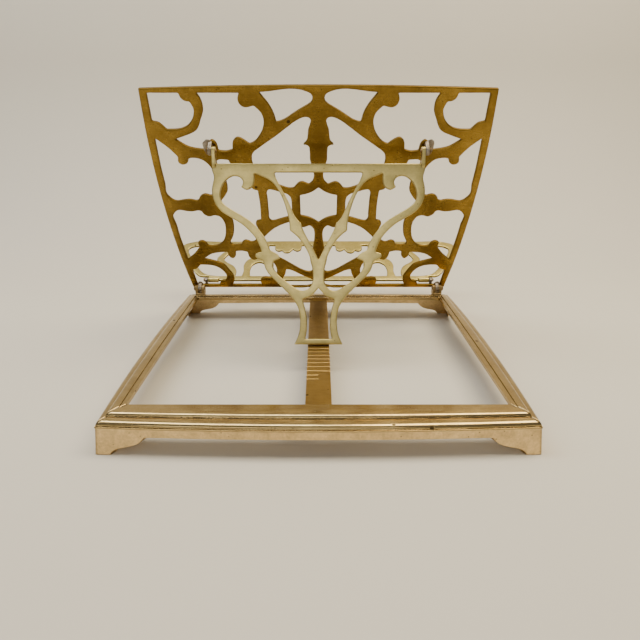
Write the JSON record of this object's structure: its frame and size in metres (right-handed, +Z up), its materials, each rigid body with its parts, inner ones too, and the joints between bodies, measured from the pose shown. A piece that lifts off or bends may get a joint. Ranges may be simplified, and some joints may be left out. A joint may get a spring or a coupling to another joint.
{
  "type": "folding book display stand",
  "caption": "Cast brass folding book rest: pierced scrollwork back panel and ledge, lyre strut in a notched bar, moulded frame on bracket feet",
  "frame": {"origin": "on the floor, under the middle of the whole stand's length and width", "axes": "+X across the stand, +Y from the reader's side to the rear of the base, +Z up"},
  "size_m": [0.334, 0.3222, 0.2355],
  "materials": {
    "panel_brass": "dark golden tarnished cast brass",
    "strut_brass": "pale greenish yellow cast brass, polished by handling",
    "base_brass": "pinkish tan brass, bright along the mouldings, matt on the apron",
    "solder_brass": "dull brass greyed by solder",
    "pin_metal": "dark peened pin"
  },
  "bodies": {
    "base": {"front_rail": "base_brass", "rear_rail": "base_brass", "left_rail": "base_brass", "right_rail": "base_brass", "ratchet_bar": "base_brass", "hinge_fork_left": "base_brass", "hinge_pin_left": "pin_metal", "hinge_fork_right": "base_brass", "hinge_pin_right": "pin_metal"},
    "panel": {"back_panel": "panel_brass", "panel_knuckle_left": "solder_brass", "strut_lug_left": "solder_brass", "strut_pin_left": "pin_metal", "ledge_lug_left": "solder_brass", "ledge_pin_left": "pin_metal", "panel_knuckle_right": "solder_brass", "strut_lug_right": "solder_brass", "strut_pin_right": "pin_metal", "ledge_lug_right": "solder_brass", "ledge_pin_right": "pin_metal"},
    "strut": {"strut": "strut_brass"},
    "ledge": {"ledge": "panel_brass"}
  },
  "joints": [
    {"name": "panel_tilt", "type": "hinge", "parent": "base", "child": "panel", "pos_m": [0, -0.09187, 0.033], "axis": [1, 0, 0], "range_deg": [-9, 16]},
    {"name": "strut_swing", "type": "hinge", "parent": "panel", "child": "strut", "pos_m": [0, -0.01271, 0.18438], "axis": [1, 0, 0], "range_deg": [-41, 23.1]},
    {"name": "ledge_fold", "type": "hinge", "parent": "panel", "child": "ledge", "pos_m": [0, -0.10072, 0.03989], "axis": [1, 0, 0], "range_deg": [-90, 0]}
  ],
  "couplings": [
    {"joint": "strut_swing", "follows": "panel_tilt", "ratio": -2.56}
  ]
}
